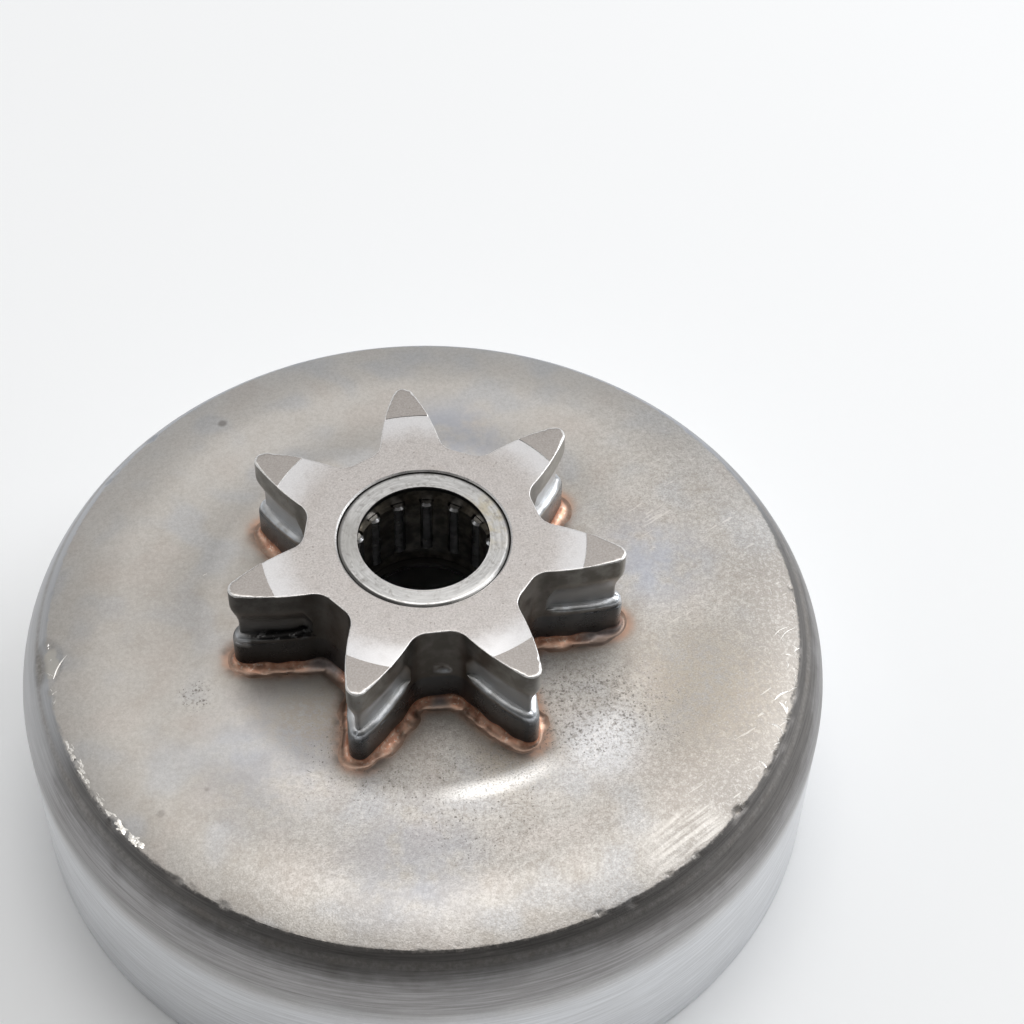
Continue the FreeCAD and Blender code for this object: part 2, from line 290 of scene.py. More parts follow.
def all_nicks():
    """The placed nicks, then the flakes along the crease."""
    source = np.random.default_rng(17)
    nicks = list(NICKS)
    for count, first, last, longest, widest, spread in FLAKES:
        for _ in range(count):
            angle = source.uniform(first, last)
            radius = CREASE_R - FLAKE_INSET - abs(source.normal(0, 0.2))
            direction = angle + 90 + source.uniform(-spread, spread)
            length = source.uniform(0.35, 1) * longest
            nicks.append((angle, radius, length, direction, source.uniform(0.4, 1) * widest))
    return nicks


def nick_piece():
    """All nicks as one mesh, each a closed wedge along a short bent line on the face."""
    rows = np.array(face_profile())
    source = np.random.default_rng(19)
    verts, faces = [], []
    for angle, radius, length, direction, half in all_nicks():
        middle = radius * ray(math.radians(angle))
        along = ray(math.radians(direction))
        aside = np.array([-along[1], along[0]])
        first = len(verts)
        for t in np.linspace(-1, 1, NICK_STEPS):
            taper = math.sqrt(1 - 0.96 * t * t) * source.uniform(0.7, 1)
            line = middle + along * length * 0.5 * t + aside * 0.06 * length * math.cos(2 * t)
            level = np.interp(np.hypot(*line), rows[:, 0], rows[:, 1])
            ridge = NICK_RIDGE + NICK_RISE * half * source.uniform(0.4, 1)
            section = ((-half, NICK_EDGE), (0.2 * half, ridge), (half, NICK_EDGE), (0.0, NICK_ROOT))
            for across, lift in section:
                verts.append((*(line + aside * across * taper), level + lift * taper))
        for step in range(NICK_STEPS - 1):
            for k in range(4):
                a, b = first + 4 * step + k, first + 4 * step + (k + 1) % 4
                faces.append((a, b, b + 4, a + 4))
        faces.append(tuple(range(first, first + 4)))
        faces.append(tuple(range(len(verts) - 1, len(verts) - 5, -1)))
    mesh = bpy.data.meshes.new("face_nicks")
    mesh.from_pydata((np.array(verts) * MM).tolist(), [], faces)
    return drum_part(mesh, 30)


# Sprocket: the tooth outline as dense columns, pressed in where the chain has worn it

# Columns of the outline in half a gullet's fillet, a flank and half a tip
FILLET_COLUMNS = 16
FLANK_COLUMNS = 58
TIP_COLUMNS = 9
# Distance along the flank is below 0 in the gullet: this at its floor, rising to 0 at its fillet's end
GULLET_DISTANCE = -9.0


def heading(vector):
    return math.atan2(vector[1], vector[0])


def ray(angle):
    return np.array([math.cos(angle), math.sin(angle)])


def tooth_half():
    """Right half of a tooth along +Y, gullet to tip: points, outward normals, distance along the flank."""
    half_pitch = math.pi / TEETH
    out = ray(math.pi / 2 - half_pitch)
    aside = ray(math.pi - half_pitch)
    foot = out * GULLET_R + aside * GULLET_WIDTH / 2
    chord = np.array([0, APEX_R]) - foot
    length = np.linalg.norm(chord)
    outward = np.array([chord[1], -chord[0]]) / length
    bow = foot + chord / 2 - outward * math.sqrt(FLANK_RADIUS ** 2 - length ** 2 / 4)
    lift = GULLET_R + GULLET_RADIUS - bow @ out
    slide = bow @ aside - math.sqrt((FLANK_RADIUS + GULLET_RADIUS) ** 2 - lift ** 2)
    root = out * (GULLET_R + GULLET_RADIUS) + aside * slide
    tip = np.array([0, bow[1] + math.sqrt((FLANK_RADIUS - TIP_RADIUS) ** 2 - bow[0] ** 2)])
    low, high = heading(root - bow), heading(tip - bow)
    flank_start = heading(foot - bow)
    floor_angle, end_angle = heading(-out), heading(bow - root)
    turn = (end_angle - floor_angle + math.pi) % FULL_TURN - math.pi
    floor_touch = root - out * GULLET_RADIUS
    columns = [(out * GULLET_R * (1 - t) + floor_touch * t, out, GULLET_DISTANCE) for t in (0.0, 0.5)]
    for t in np.linspace(0, 1, FILLET_COLUMNS, endpoint=False):
        spoke = ray(floor_angle + turn * t)
        columns.append((root + GULLET_RADIUS * spoke, -spoke, GULLET_DISTANCE * (1 - t)))
    for angle in np.linspace(low, high, FLANK_COLUMNS):
        columns.append((bow + FLANK_RADIUS * ray(angle), ray(angle), FLANK_RADIUS * (angle - flank_start)))
    flank_end = columns[-1][2]
    for angle in np.linspace(high, math.pi / 2, TIP_COLUMNS)[1:]:
        columns.append((tip + TIP_RADIUS * ray(angle), ray(angle), flank_end + TIP_RADIUS * (angle - high)))
    return [np.array(values) for values in zip(*columns)]


class Outline:
    """All teeth as columns: point and normal for a tooth along +Y, and the turn to its place."""

    def __init__(self):
        points, normals, flank = tooth_half()
        flip = np.array([-1, 1])
        left = slice(len(points) - 2, 0, -1)
        self.point = np.tile(np.concatenate([points, points[left] * flip]), (TEETH, 1))
        self.normal = np.tile(np.concatenate([normals, normals[left] * flip]), (TEETH, 1))
        self.flank = np.tile(np.concatenate([flank, flank[left]]), TEETH)
        per_tooth = len(self.point) // TEETH
        self.tooth = np.repeat(np.arange(TEETH), per_tooth)
        self.right = np.tile(np.arange(per_tooth) < len(points), TEETH)
        self.turn = self.tooth * FULL_TURN / TEETH
        self.travel = np.arange(len(self.point)) / len(self.point) * FULL_TURN

    def placed(self, press):
        """Plan position of every column, pressed in from the outline by a distance."""
        local = self.point - self.normal * np.asarray(press)[..., None]
        c, s = np.cos(self.turn), np.sin(self.turn)
        return np.stack([local[..., 0] * c - local[..., 1] * s, local[..., 0] * s + local[..., 1] * c], -1)


# Drops below the sprocket's end at which the flanks have a row, closest together at the ledge
FLANK_DROPS = [
    0.4, 0.7, 1.1, 1.5, 1.9, 2.3, 2.6, 2.81, 3.0, 3.2, 3.45, 3.7, 4.0, 4.3, 4.6, 5.0, 5.4, 5.7, 5.9, 6.0,
    6.05, 6.055, 6.07, 6.095, 6.13, 6.18, 6.24, 6.31, 6.39, 6.48, 6.58, 6.7, 6.82, 6.9, 6.96, 7.02, 7.1,
    7.25, 7.5, 7.9, 8.4, 9.0, 9.6, 10.2, 10.7,
]
# Radii of the rings on the sprocket's end, closest together at the edge of the washer's seat
END_RADII = [
    18.2, 17.5, 16.8, 16.2, 15.6, 15.2, 15.0, 14.955, 14.905, 14.8, 14.4, 13.8, 13.2, 12.5, 11.8, 11.2,
    10.6, 10.0, 9.4, 8.9, 8.5,
]
# Height over which the ledge's nose is rounded, and what is added to it towards the tip
NOSE_HEIGHT = 0.42
TIP_NOSE_EXTRA = 0.85
# Roll of the end's edge, in from the flank and down, and what is added to each at the tips
EDGE_INSET = 0.10
EDGE_DOWN = 0.08
TIP_EDGE_INSET = 0.27
TIP_EDGE_DOWN = 0.11
# Share of the groove's depth that is missing at the very tip
TIP_SHALLOWER = 0.28
# The burr along the ledge and the crack under it: drop, spread and size
BURR_DROP = 6.3
BURR_SPREAD = 0.16
BURR_SIZE = 0.05
CRACK_DROP = 6.95
CRACK_SPREAD = 0.05
CRACK_DEPTH = 0.12

# Gouges in the flanks: place on the plan view, drop below the end, radius, depth
SCARS = [((0.46, -10.93), 6.1, 0.42, 0.16), ((0.85, -10.95), 6.35, 0.3, 0.12),
         ((-11.6, -5.35), 6.2, 0.4, 0.2), ((-12.0, -5.1), 6.5, 0.3, 0.12)]


def end_height(radius):
    """Height of the sprocket's end: the washer's seat, and the higher tips outside it."""
    return SEAT_Z + SEAT_DEPTH * smooth(SEAT_R - 0.025, SEAT_R + 0.025, radius)


def groove_press(outline, drop, flank_share):
    """How far the chain has worn the flanks in, at a drop and the outline's columns."""
    above = GROOVE_DEPTH * smooth(GROOVE_TOP_DROP, GROOVE_WALL_DROP, drop)
    nose = NOSE_HEIGHT + TIP_NOSE_EXTRA * smooth(5.8, 9.0, outline.flank)
    fallen = np.clip((drop - LEDGE_DROP) / nose, 0, 1)
    below = GROOVE_DEPTH * (1 - np.sqrt(1 - (1 - fallen) ** 2))
    section = np.where(drop < LEDGE_DROP, above, below) * flank_share
    run_in = np.maximum(GROOVE_START - outline.flank, 0)
    depth = np.sqrt(np.maximum((section + GROOVE_OVERCUT) ** 2 - run_in ** 2, 0)) - GROOVE_OVERCUT
    at_tip = smooth(9.0, 9.6, outline.flank)
    return np.where(section > 0, np.maximum(depth, 0), 0) * (1 - TIP_SHALLOWER * at_tip)


def end_edge(outline):
    """Rings of the rounded edge of the sprocket's end, rolled widest at the tips."""
    uneven = 1 + 0.22 * ripple(outline.travel, 20, 200, 31)
    at_tip = smooth(4.5, 8.4, outline.flank)
    inset = (EDGE_INSET + TIP_EDGE_INSET * at_tip) * uneven
    down = (EDGE_DOWN + TIP_EDGE_DOWN * at_tip) * uneven
    rings = []
    for tilt in np.linspace(0, math.pi / 2, 7):
        flat = outline.placed(inset * (1 - math.sin(tilt)))
        height = end_height(np.hypot(flat[:, 0], flat[:, 1])) - down * (1 - math.cos(tilt))
        rings.append(np.column_stack([flat, height]))
    return rings


def scar_masks(points, drop):
    """Depth of the gouges at points on the plan view, and the bright rim round each."""
    depth, rim = np.zeros(len(points)), np.zeros(len(points))
    for place, level, radius, deep in SCARS:
        gap = np.sqrt(((points - place) ** 2).sum(-1) + (drop - level) ** 2) / radius
        depth += deep * bell(gap, 0, 1)
        rim += bell(gap, 1.25, 0.35)
    return depth, rim


def sprocket_flanks(outline):
    """Rings of the flanks from the rounded end edge to the foot, with the masks for their worn groove,
    painted highlights and painted shade.
    """
    source = np.random.default_rng(11)
    flank_number = outline.tooth * 2 + outline.right
    share = source.uniform(0.82, 1.02, 2 * TEETH)[flank_number]
    sag = source.uniform(0.3, 0.7, 2 * TEETH)[flank_number]
    travel, flank = outline.travel, outline.flank
    rings = end_edge(outline)
    blank = np.zeros_like(flank)
    masks = {label: [blank] * len(rings) for label in ("ledge_highlight", "hollow", "gap")}
    torn = np.clip(0.6 + 0.9 * ripple(travel, 10, 120, 27, 40), 0, 1)
    burr = np.clip(0.55 + 0.5 * ripple(travel, 8, 90, 21, 40), 0, 1.3)
    cracked = smooth(4.0, 5.2, flank) * (1 - smooth(8.0, 8.8, flank)) * torn
    plan = outline.placed(blank)
    for drop in FLANK_DROPS:
        depth = groove_press(outline, drop, share)
        scar, rim = scar_masks(plan, drop)
        lip = bell(drop, BURR_DROP, BURR_SPREAD) * smooth(1.2, 2.6, flank) * burr
        crack = bell(drop, CRACK_DROP, CRACK_SPREAD) * cracked
        low = (flank - 4.6) / 8.0 * sag * smooth(3.0, 5.8, drop) * (1 - smooth(7.2, 9.8, drop))
        height = TOP_Z - drop - np.clip(low, -0.4, 0.4)
        press = depth - BURR_SIZE * lip + CRACK_DEPTH * crack + scar
        rings.append(np.column_stack([outline.placed(press), height]))
        on_ledge = smooth(6.04, 6.06, drop) * (1 - smooth(6.35, 6.75, drop)) * smooth(1.0, 2.4, flank)
        bead = smooth(7.6, 9.2, flank) * smooth(6.04, 6.1, drop) * (1 - smooth(6.7, 7.4, drop))
        # Painted highlight on the ledge's lip, on the beads at the tips and on the rims of the gouges.
        masks["ledge_highlight"].append(np.clip(on_ledge * (0.3 + 0.5 * burr) + bead + 0.8 * rim, 0, 1))
        masks["hollow"].append(depth / GROOVE_DEPTH)
        # Painted shade: near black in the crack under the burr and in the gouges.
        masks["gap"].append(np.clip(crack + scar * 3, 0, 1))
    return rings, masks


def sprocket_piece(outline):
    flanks, marked = sprocket_flanks(outline)
    rim = flanks[0][:, :2]
    rim_r = np.hypot(rim[:, 0], rim[:, 1])

    def circle(radius, height):
        flat = rim * (np.broadcast_to(radius, rim_r.shape) / rim_r)[:, None]
        return np.column_stack([flat, np.broadcast_to(height, rim_r.shape)])

    upper = [circle(BORE_R, SEAT_Z - BORE_CHAMFER), circle(BORE_R + BORE_CHAMFER, SEAT_Z)]
    for radius in END_RADII[::-1]:
        clamped = np.minimum(radius, rim_r)
        upper.append(circle(clamped, end_height(clamped)))
    spigot = [circle(SPIGOT_R, FACE_Z), circle(SPIGOT_R, INSIDE_Z), circle(BORE_R, INSIDE_Z)]
    blank = np.zeros_like(rim_r)
    masks = {}
    for label, rows in marked.items():
        masks[label] = np.array([blank] * len(upper) + rows + [blank] * len(spigot))
    mesh = ring_mesh("sprocket_worn", np.array(upper + flanks + spigot), masks)
    return drum_part(mesh, 34, "spur_sprocket")


# Braze: an uneven hollow fillet round the foot of the teeth

# Usual reach along the face and up the flank, what a gullet and a swell add, and the limits of both
BRAZE_OUT = 0.92
BRAZE_UP = 0.8
POOL_OUT = 0.25
POOL_UP = 0.2
SWELL_OUT = 0.34
SWELL_UP = 0.22
BRAZE_LEAST = 0.35
BRAZE_MOST = 1.2
# How far the fillet reaches into the flank and under the face, and its outer edge's width and height
BRAZE_INSET = 0.05
BRAZE_SUNK = 0.03
BRAZE_EDGE = 0.16
BRAZE_THINNEST = 0.012


def braze_piece(outline):
    travel = outline.travel
    pooled = 1 - smooth(-4.0, 3.0, outline.flank)
    narrowed = 1 - 0.3 * smooth(5.5, 9.0, outline.flank)
    out = (BRAZE_OUT + POOL_OUT * pooled + SWELL_OUT * ripple(travel, 3, 45, 41)) * narrowed
    out = np.clip(out + 0.04 * ripple(travel, 40, 160, 43), BRAZE_LEAST, BRAZE_MOST)
    up = (BRAZE_UP + POOL_UP * pooled + SWELL_UP * ripple(travel, 3, 60, 47)) * narrowed
    up = np.clip(up, BRAZE_LEAST, BRAZE_MOST)
    inset = np.full_like(out, -BRAZE_INSET)
    rows = [(inset, -BRAZE_SUNK), (inset, up)]
    lumps = 0.02 * (1 + ripple(travel, 12, 110, 59))
    for turn in np.linspace(0, math.pi / 2, 13):
        sag = lumps * math.sin(2 * turn)
        away = out * (1 - math.cos(turn)) + sag
        rows.append((away, np.maximum(up * (1 - math.sin(turn)) + sag, BRAZE_THINNEST)))
    rows += [(out + BRAZE_EDGE, -0.005), (out + BRAZE_EDGE, -BRAZE_SUNK)]
    rings = []
    for away, height in rows:
        rings.append(np.column_stack([outline.placed(-away), FACE_Z + np.broadcast_to(height, out.shape)]))
    return drum_part(ring_mesh("braze_bead", np.array(rings)), 60, "braze_fillet")


# Materials, in millimetres on the object, with x to the right, y away from the camera and r from the axis

class Surface:
    """One node material. Each call adds nodes and gives an output; arguments are outputs or numbers."""

    def __init__(self, name):
        self.material = bpy.data.materials.new(name)
        self.material.use_nodes = True
        self.tree = self.material.node_tree
        self.tree.nodes.clear()
        coordinates = self.node("ShaderNodeTexCoord")
        scaled = self.node("ShaderNodeVectorMath")
        scaled.operation = "SCALE"
        scaled.inputs["Scale"].default_value = 1 / MM
        self.link(coordinates.outputs["Object"], scaled.inputs[0])
        self.place = scaled.outputs[0]
        self.x, self.y, self.z = self.split(self.place)
        self.r = self.length(self.x, self.y)

    def node(self, kind):
        return self.tree.nodes.new(kind)

    def link(self, value, socket):
        if isinstance(value, bpy.types.NodeSocket):
            self.tree.links.new(value, socket)
        elif isinstance(value, tuple) and len(value) < len(socket.default_value):
            socket.default_value = (*value, 1.0)
        else:
            socket.default_value = value

    def split(self, vector):
        node = self.node("ShaderNodeSeparateXYZ")
        self.link(vector, node.inputs[0])
        return node.outputs

    def math(self, operation, a, b=0.0):
        node = self.node("ShaderNodeMath")
        node.operation = operation
        self.link(a, node.inputs[0])
        self.link(b, node.inputs[1])
        return node.outputs[0]

    def times(self, first, *others):
        for other in others:
            first = self.math("MULTIPLY", first, other)
        return first

    def add(self, first, *others):
        for other in others:
            first = self.math("ADD", first, other)
        return first

    def less(self, a, b):
        return self.math("SUBTRACT", a, b)

    def length(self, a, b):
        return self.math("SQRT", self.add(self.times(a, a), self.times(b, b)))

    def combine(self, x, y, z):
        node = self.node("ShaderNodeCombineXYZ")
        for value, socket in zip((x, y, z), node.inputs):
            self.link(value, socket)
        return node.outputs[0]

    def noise(self, scale, detail=3.0, roughness=0.55, where=None):
        node = self.node("ShaderNodeTexNoise")
        self.link(self.place if where is None else where, node.inputs["Vector"])
        node.inputs["Scale"].default_value = scale
        node.inputs["Detail"].default_value = detail
        node.inputs["Roughness"].default_value = roughness
        return node.outputs["Fac"]

    def blots(self, scale, amount):
        """Ragged spots of mixed size on level faces, none where the amount is 0 and dense where it is 1."""
        wobble = self.node("ShaderNodeTexNoise")
        self.link(self.place, wobble.inputs["Vector"])
        wobble.inputs["Scale"].default_value = 2.2 * scale
        wobble.inputs["Detail"].default_value = 0.0
        shifted = self.node("ShaderNodeVectorMath")
        shifted.operation = "MULTIPLY_ADD"
        self.link(wobble.outputs["Color"], shifted.inputs[0])
        shifted.inputs[1].default_value = (0.9 / scale,) * 3
        self.link(self.place, shifted.inputs[2])
        cells = self.node("ShaderNodeTexVoronoi")
        cells.voronoi_dimensions = "2D"
        self.link(shifted.outputs[0], cells.inputs["Vector"])
        cells.inputs["Scale"].default_value = scale
        chance = self.split(cells.outputs["Color"])[0]
        reach = self.times(chance, chance, amount, 0.5)
        return self.step(self.less(cells.outputs["Distance"], reach), 0.02, -0.12)

    def step(self, value, low, high):
        """0 to 1 as the value goes from low to high, which may be the smaller."""
        node = self.node("ShaderNodeMapRange")
        node.interpolation_type = "SMOOTHSTEP"
        rising = low < high
        ends = (low, high, 0.0, 1.0) if rising else (high, low, 1.0, 0.0)
        self.link(value, node.inputs["Value"])
        for number, name in zip(ends, ("From Min", "From Max", "To Min", "To Max")):
            node.inputs[name].default_value = number
        return node.outputs[0]

    def mix(self, share, a, b):
        node = self.node("ShaderNodeMix")
        node.data_type = "RGBA"
        self.link(share, node.inputs[0])
        self.link(a, node.inputs[6])
        self.link(b, node.inputs[7])
        return node.outputs[2]

    def lay(self, colour, tone, *masks):
        """The colour with a tone laid over it, as far as all the masks let it through."""
        return self.mix(self.times(*masks), colour, tone)

    def near(self, x, y, radius, fade):
        """1 within a circle on the plan view, falling to 0 over the fade."""
        gap = self.length(self.less(self.x, x), self.less(self.y, y))
        return self.step(gap, radius + fade, radius)

    def any(self, *masks):
        return self.math("MINIMUM", self.add(*masks), 1.0)

    def round_streaks(self, stretch, scale):
        """Noise drawn out along circles round the axis."""
        where = self.combine(self.times(self.math("DIVIDE", self.x, self.r), stretch),
                             self.times(self.math("DIVIDE", self.y, self.r), stretch),
                             self.less(self.r, self.z))
        return self.noise(scale, 4.0, 0.65, where)

    def strokes(self, turn, scale, stretch):
        """Noise drawn out along a direction in degrees on the plan view."""
        c, s = math.cos(math.radians(turn)), math.sin(math.radians(turn))
        along = self.add(self.times(self.x, c), self.times(self.y, s))
        across = self.less(self.times(self.y, c), self.times(self.x, s))
        return self.noise(scale, 2.0, 0.5, self.combine(self.times(along, 1 / stretch), across, self.z))

    def upward(self):
        return self.split(self.node("ShaderNodeNewGeometry").outputs["Normal"])[2]

    def mask(self, name):
        node = self.node("ShaderNodeAttribute")
        node.attribute_name = name
        return node.outputs["Fac"]

    def metal(self, colour, roughness, height, depth_mm, metallic=1.0):
        """Metal, less metallic where it is oxidised, with bumps as deep as the height times the depth."""
        bumps = self.node("ShaderNodeBump")
        bumps.inputs["Strength"].default_value = 1.0
        bumps.inputs["Distance"].default_value = depth_mm * MM
        self.link(height, bumps.inputs["Height"])
        shader = self.node("ShaderNodeBsdfPrincipled")
        shader.inputs["Metallic"].default_value = metallic
        self.link(bumps.outputs[0], shader.inputs["Normal"])
        self.link(colour, shader.inputs["Base Color"])
        self.link(roughness, shader.inputs["Roughness"])
        self.link(shader.outputs[0], self.node("ShaderNodeOutputMaterial").inputs["Surface"])
        return self.material


class DrumSurface(Surface):
    """The drum's material, with the noises that several of its parts share."""

    def __init__(self):
        super().__init__("drum_steel")
        self.grain = self.noise(6.0, 2.0, 0.7)
        self.mottle = self.noise(2.4, 3.0, 0.65)
        self.cloud = self.noise(0.32, 3.0, 0.6)
        self.patch = self.noise(0.1, 1.0, 0.6)
        self.streak = self.round_streaks(1.4, 4.0)
        self.coarse = self.add(0.42, self.times(self.step(self.less(self.x, self.y), -12.0, 18.0), 0.6))


def face_tones(s):
    """Grey steel in soft warm and cool patches, paler at the back and far left as painted light and darker
    at the right shoulder as painted shade, under mottle and grain.
    """
    colour = s.mix(s.step(s.patch, 0.3, 0.7), (0.43, 0.408, 0.382), (0.51, 0.487, 0.462))
    colour = s.lay(colour, (0.375, 0.335, 0.295), s.step(s.cloud, 0.46, 0.72), 0.5)
    # Paler towards the back and the far left: painted light.
    paler = s.any(s.times(s.step(s.y, 6.0, 26.0), 0.6), s.times(s.step(s.x, -22.0, -33.0), 0.5))
    colour = s.lay(colour, (0.57, 0.545, 0.52), paler)
    hue = s.noise(0.17, 1.0, 0.6)
    colour = s.lay(colour, (0.50, 0.45, 0.415), s.step(hue, 0.5, 0.7), 0.4)
    colour = s.lay(colour, (0.42, 0.44, 0.48), s.step(hue, 0.5, 0.3), 0.4)
    colour = s.lay(colour, (0.36, 0.325, 0.29), s.near(24.5, -21.5, 4.0, 6.0), 0.45)
    # Darker at the right shoulder and in a spot at the left: painted shade.
    shoulder = s.times(s.step(s.r, 28.5, 34.0), s.step(s.x, 14.0, 26.0), s.step(s.y, 8.0, 0.0), 0.9)
    painted_shade = s.any(shoulder, s.times(s.near(-27.0, 1.0, 4.0, 8.0), 0.3))
    colour = s.lay(colour, (0.33, 0.305, 0.28), painted_shade)
    colour = s.lay(colour, (0.60, 0.62, 0.665), s.near(14.2, -17.5, 1.5, 4.0), 0.55)
    colour = s.lay(colour, (0.32, 0.29, 0.26), s.step(s.mottle, 0.54, 0.34), s.coarse, 0.4)
    colour = s.lay(colour, (0.64, 0.61, 0.58), s.step(s.mottle, 0.48, 0.68), s.coarse, 0.4)
    colour = s.lay(colour, (0.27, 0.25, 0.23), s.step(s.grain, 0.55, 0.3), s.coarse, 0.55)
    return s.lay(colour, (0.72, 0.69, 0.66), s.step(s.grain, 0.56, 0.78), s.coarse, 0.55)


def face_stains(s, colour):
    """Blue and olive heat tints, and brown fused metal that fades away from the teeth."""
    tint = s.any(s.near(22.4, 3.4, 1.0, 7.0), s.near(5.0, 21.0, 2.0, 6.0),
                 s.times(s.near(-15.0, -15.0, 2.0, 9.0), 0.6), s.times(s.near(-4.0, -27.0, 2.0, 8.0), 0.6))
    colour = s.lay(colour, (0.385, 0.405, 0.47), tint, s.step(s.cloud, 0.3, 0.6), 0.6)
    olive = s.any(s.near(-12.0, -11.5, 1.0, 5.0), s.near(6.0, -17.5, 1.0, 5.0),
                  s.near(25.0, -12.0, 2.0, 9.0))
    colour = s.lay(colour, (0.34, 0.285, 0.215), olive, s.step(s.mottle, 0.35, 0.6), 0.5)
    halo = s.times(s.mask("halo"), s.add(0.55, s.times(s.mottle, 0.5), s.times(s.cloud, 0.5)))
    colour = s.lay(colour, (0.28, 0.215, 0.165), s.step(halo, 0.05, 0.5), 0.45)
    fused = s.mix(s.step(s.cloud, 0.4, 0.62), (0.44, 0.27, 0.195), (0.15, 0.118, 0.10))
    return s.lay(colour, fused, s.step(halo, 0.26, 0.6), 0.85)


def face_pits(s, colour):
    """Small dark pits, densest right of the front teeth, and a few dints; also gives their mask."""
    pitted = s.any(s.near(11.8, -13.2, 1.5, 6.5), s.times(s.near(18.0, -14.0, 1.0, 8.0), 0.75),
                   s.near(-22.2, -7.6, 0.5, 2.2), s.times(s.near(2.0, -22.0, 3.0, 9.0), 0.6),
                   s.times(s.near(-9.0, -17.0, 2.0, 6.0), 0.5), 0.06)
    pitted = s.times(pitted, s.step(s.r, 35.4, 34.6), s.step(s.z, 21.5, 22.4))
    worms = s.times(s.step(s.mottle, 0.46, 0.38), pitted, pitted)
    dints = s.any(s.near(-17.7, 26.2, 0.25, 0.4), s.times(s.near(-25.8, -19.6, 0.2, 0.3), 0.45),
                  s.times(s.near(-21.6, -17.7, 0.1, 0.25), 0.45))
    pits = s.math("MAXIMUM", s.blots(3.3, pitted), dints)
    colour = s.lay(colour, (0.21, 0.19, 0.17), worms, 0.4)
    return s.lay(colour, (0.14, 0.125, 0.112), pits, 0.6), pits


def face_polish(s, colour):
    """Brushed lines at the right, a satin patch and a painted highlight in an arc at the front; also gives
    how much smoother it is.
    """
    brushed = s.strokes(32.0, 2.6, 12.0)
    lines = s.times(s.step(brushed, 0.68, 0.72), s.step(s.x, 8.0, 24.0), s.step(s.patch, 0.35, 0.55))
    satin = s.times(s.near(21.2, -28.8, 2.6, 3.0), s.step(brushed, 0.38, 0.62))
    colour = s.lay(colour, (0.74, 0.71, 0.67), s.any(lines, satin), 0.45)
    # A near-white arc on the face's fall at the front: painted highlight.
    arc = s.step(s.math("ABSOLUTE", s.less(s.r, 21.0)), 1.4, 0.1)
    bright_band = s.times(s.near(4.5, -20.6, 1.5, 6.0), arc)
    colour = s.lay(colour, (0.88, 0.86, 0.84), bright_band, s.step(s.grain, 0.2, 0.6), 0.9)
    return colour, s.add(s.times(satin, 0.06), s.times(bright_band, 0.08))


def edge_tones(s, colour):
    """Scale on the rounded edge, darker at the front, bluish behind as a painted reflection, light at the
    left, and the dent.
    """
    wavy_r = s.add(s.r, s.times(s.less(s.mottle, 0.5), 0.9))
    edge = s.times(s.step(wavy_r, 35.65, 36.0), s.step(s.z, 13.0, 17.5))
    scale = s.mix(s.step(s.streak, 0.25, 0.75), (0.24, 0.232, 0.23), (0.42, 0.412, 0.415))
    # Darker towards the front and the lower right, less at the front left.
    lower = s.times(s.step(s.x, 5.0, 25.0), s.step(s.y, -5.0, -22.0), 1.6)
    front_darkening = s.step(s.add(s.z, s.times(s.cloud, 2.5), lower), 20.6, 23.0)
    spared = s.times(s.step(s.y, -16.0, -4.0), s.step(s.x, 0.0, -20.0), 0.75)
    front_dark_tone = s.mix(s.step(s.streak, 0.3, 0.7), (0.085, 0.08, 0.076), (0.17, 0.158, 0.148))
    scale = s.lay(scale, front_dark_tone, front_darkening, s.step(s.y, 20.0, 6.0), 0.8, s.less(1.0, spared))
    # Bluish towards the back: painted reflection of the cool low light.
    scale = s.lay(scale, (0.47, 0.49, 0.54), s.step(s.y, 2.0, 22.0), 0.7)
    scale = s.lay(scale, (0.58, 0.585, 0.60), s.step(s.x, -20.0, -32.0), s.step(s.y, -16.0, -6.0), 0.5)
    colour = s.lay(colour, scale, edge, 0.92)
    dent = s.any(s.near(-35.5, -0.1, 0.5, 0.35), s.near(-35.4, -1.2, 0.6, 0.35),
                 s.near(-35.2, -2.2, 0.4, 0.35))
    return s.lay(colour, (0.60, 0.565, 0.51), dent, 0.8)


def wall_tones(s, colour):
    """The bright outer wall, and inside it the dusty ceiling and the friction wall."""
    wall = s.times(s.step(s.z, 17.5, 13.0), s.step(s.r, 37.4, 38.1))
    bright = s.mix(s.step(s.streak, 0.25, 0.75), (0.62, 0.625, 0.635), (0.80, 0.81, 0.83))
    colour = s.lay(colour, bright, wall)
    inside = s.times(s.step(s.r, 37.3, 36.6), s.step(s.z, 21.9, 21.3))
    dusty = s.mix(s.step(s.mottle, 0.3, 0.7), (0.25, 0.235, 0.22), (0.37, 0.352, 0.335))
    dusty = s.lay(dusty, (0.24, 0.19, 0.15), s.step(s.cloud, 0.5, 0.7), 0.3)
    bright_band = s.mix(s.step(s.streak, 0.25, 0.75), (0.34, 0.33, 0.32), (0.56, 0.55, 0.54))
    within = s.lay(dusty, bright_band, s.step(s.r, 35.9, 36.2), s.step(s.z, 17.4, 16.2))
    return s.lay(colour, within, inside)


def drum_steel():
    s = DrumSurface()
    colour = face_stains(s, face_tones(s))
    colour, pits = face_pits(s, colour)
    colour, smoother = face_polish(s, colour)
    colour = wall_tones(s, edge_tones(s, colour))
    rough = s.add(0.34, s.times(s.grain, 0.16), s.times(s.cloud, 0.08), s.times(pits, 0.12))
    return s.metal(colour, s.less(rough, smoother), s.times(s.grain, s.coarse), 0.02)


def bare_steel():
    s = Surface("bare_steel")
    grain = s.noise(6.0, 3.0, 0.6)
    colour = s.mix(s.step(grain, 0.3, 0.7), (0.64, 0.61, 0.565), (0.90, 0.88, 0.85))
    return s.metal(colour, s.add(0.3, s.times(grain, 0.2)), grain, 0.02)


